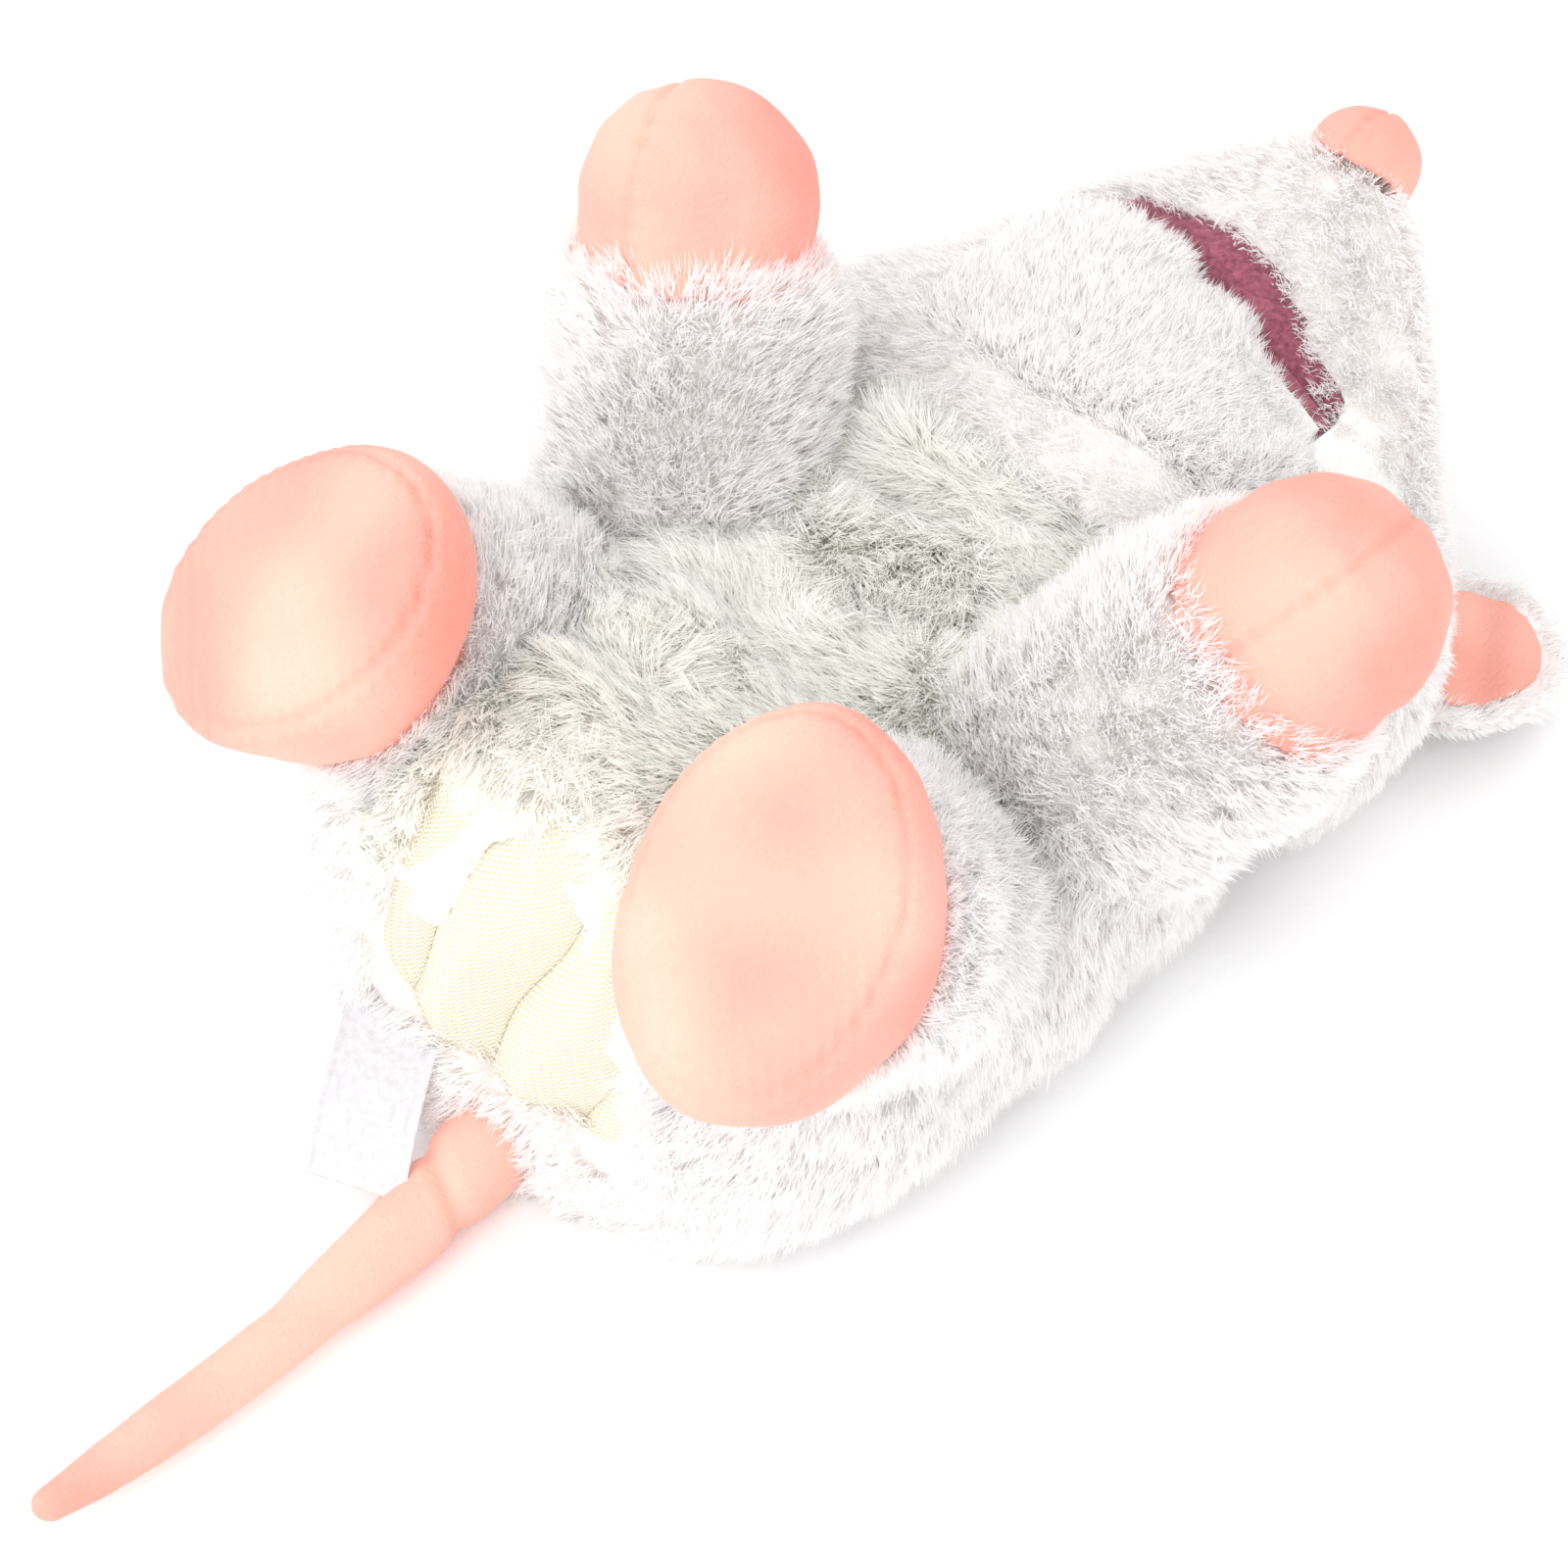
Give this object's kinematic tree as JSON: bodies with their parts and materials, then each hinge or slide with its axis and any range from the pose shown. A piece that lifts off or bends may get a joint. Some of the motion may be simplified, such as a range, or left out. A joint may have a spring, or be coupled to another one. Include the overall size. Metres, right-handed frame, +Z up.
{
  "type": "plush mouse hand puppet",
  "caption": "Soft mouse hand puppet lying on its back: furry trunk with a lined glove opening, a head with an opening mouth, swinging limbs, ears, tail and a care label",
  "frame": {"origin": "on the flat of the back that the puppet rests on, under the middle of the trunk", "axes": "+Z up from the back to the belly, +Y from the tail to the nose, +X to the mouse's left side"},
  "size_m": [0.2403, 0.4778, 0.1708],
  "materials": {
    "white_fur": "white long pile faux fur",
    "cream_fur": "cream long pile faux fur",
    "peach_minky": "peach short pile plush",
    "lining_knit": "ivory tricot knit",
    "mouth_fleece": "dusty rose brushed knit",
    "label_satin": "white woven satin with no print",
    "polyester_filling": "white polyester fibre filling",
    "eye_plastic": "polished black safety eye",
    "washer_plastic": "white locking washer"
  },
  "bodies": {
    "torso": {"back_panel": "white_fur", "belly_panel": "cream_fur", "opening_hem": "white_fur", "lining_upper": "lining_knit", "lining_lower": "lining_knit", "stuffing_left_side": "polyester_filling", "stuffing_right_side": "polyester_filling"},
    "label": {"care_label": "label_satin"},
    "tail": {"tail_cover": "peach_minky", "tail_stuffing": "polyester_filling"},
    "head": {"head_cover": "white_fur", "head_stuffing": "polyester_filling", "finger_pocket": "lining_knit", "mouth_roof": "mouth_fleece", "nose": "peach_minky", "left_eye": "eye_plastic", "right_eye": "eye_plastic", "left_eye_washer": "washer_plastic", "right_eye_washer": "washer_plastic"},
    "jaw": {"jaw_cover": "white_fur", "jaw_stuffing": "polyester_filling", "thumb_pocket": "lining_knit", "mouth_floor": "mouth_fleece"},
    "left_ear": {"left_ear_back": "white_fur", "left_ear_inner": "peach_minky"},
    "right_ear": {"right_ear_back": "white_fur", "right_ear_inner": "peach_minky"},
    "left_arm": {"left_arm_sleeve": "white_fur", "left_hand": "peach_minky", "left_arm_stuffing": "polyester_filling"},
    "right_arm": {"right_arm_sleeve": "white_fur", "right_hand": "peach_minky", "right_arm_stuffing": "polyester_filling"},
    "left_leg": {"left_leg_sleeve": "white_fur", "left_foot_upper": "peach_minky", "left_foot_sole": "peach_minky", "left_leg_stuffing": "polyester_filling"},
    "right_leg": {"right_leg_sleeve": "white_fur", "right_foot_upper": "peach_minky", "right_foot_sole": "peach_minky", "right_leg_stuffing": "polyester_filling"}
  },
  "joints": [
    {"name": "neck", "type": "hinge", "parent": "torso", "child": "head", "pos_m": [0, 0.09, 0.05], "axis": [1, 0, 0], "range_deg": [-5, 15], "stiffness_Nm_per_rad": 6},
    {"name": "jaw_hinge", "type": "hinge", "parent": "head", "child": "jaw", "pos_m": [0, 0.122, 0.058], "axis": [1, 0, 0], "range_deg": [-3, 25], "stiffness_Nm_per_rad": 1.2},
    {"name": "left_ear_hinge", "type": "hinge", "parent": "head", "child": "left_ear", "pos_m": [0.06298, 0.162, 0.012], "axis": [0.6292, -0.7772, 0], "range_deg": [-5, 15], "stiffness_Nm_per_rad": 0.2},
    {"name": "right_ear_hinge", "type": "hinge", "parent": "head", "child": "right_ear", "pos_m": [-0.06298, 0.162, 0.012], "axis": [0.6292, 0.7772, 0], "range_deg": [-5, 15], "stiffness_Nm_per_rad": 0.2},
    {"name": "left_shoulder", "type": "hinge", "parent": "torso", "child": "left_arm", "pos_m": [0.0621, 0.04, 0.0733], "axis": [1, 0, 0], "range_deg": [-10, 30], "stiffness_Nm_per_rad": 1.5},
    {"name": "right_shoulder", "type": "hinge", "parent": "torso", "child": "right_arm", "pos_m": [-0.0621, 0.04, 0.0733], "axis": [1, 0, 0], "range_deg": [-10, 30], "stiffness_Nm_per_rad": 1.5},
    {"name": "left_hip", "type": "hinge", "parent": "torso", "child": "left_leg", "pos_m": [0.05796, -0.024, 0.0733], "axis": [1, 0, 0], "range_deg": [-35, 8], "stiffness_Nm_per_rad": 1.5},
    {"name": "right_hip", "type": "hinge", "parent": "torso", "child": "right_leg", "pos_m": [-0.05796, -0.024, 0.0733], "axis": [1, 0, 0], "range_deg": [-35, 8], "stiffness_Nm_per_rad": 1.5},
    {"name": "tail_root", "type": "hinge", "parent": "torso", "child": "tail", "pos_m": [0.004, -0.1, 0.012], "axis": [0, 0, 1], "range_deg": [-40, 40], "stiffness_Nm_per_rad": 0.3},
    {"name": "label_flap", "type": "hinge", "parent": "torso", "child": "label", "pos_m": [-0.031, -0.092, 0.0255], "axis": [-0.9117, -0.4108, 0], "range_deg": [-3, 45], "stiffness_Nm_per_rad": 0.02}
  ]
}
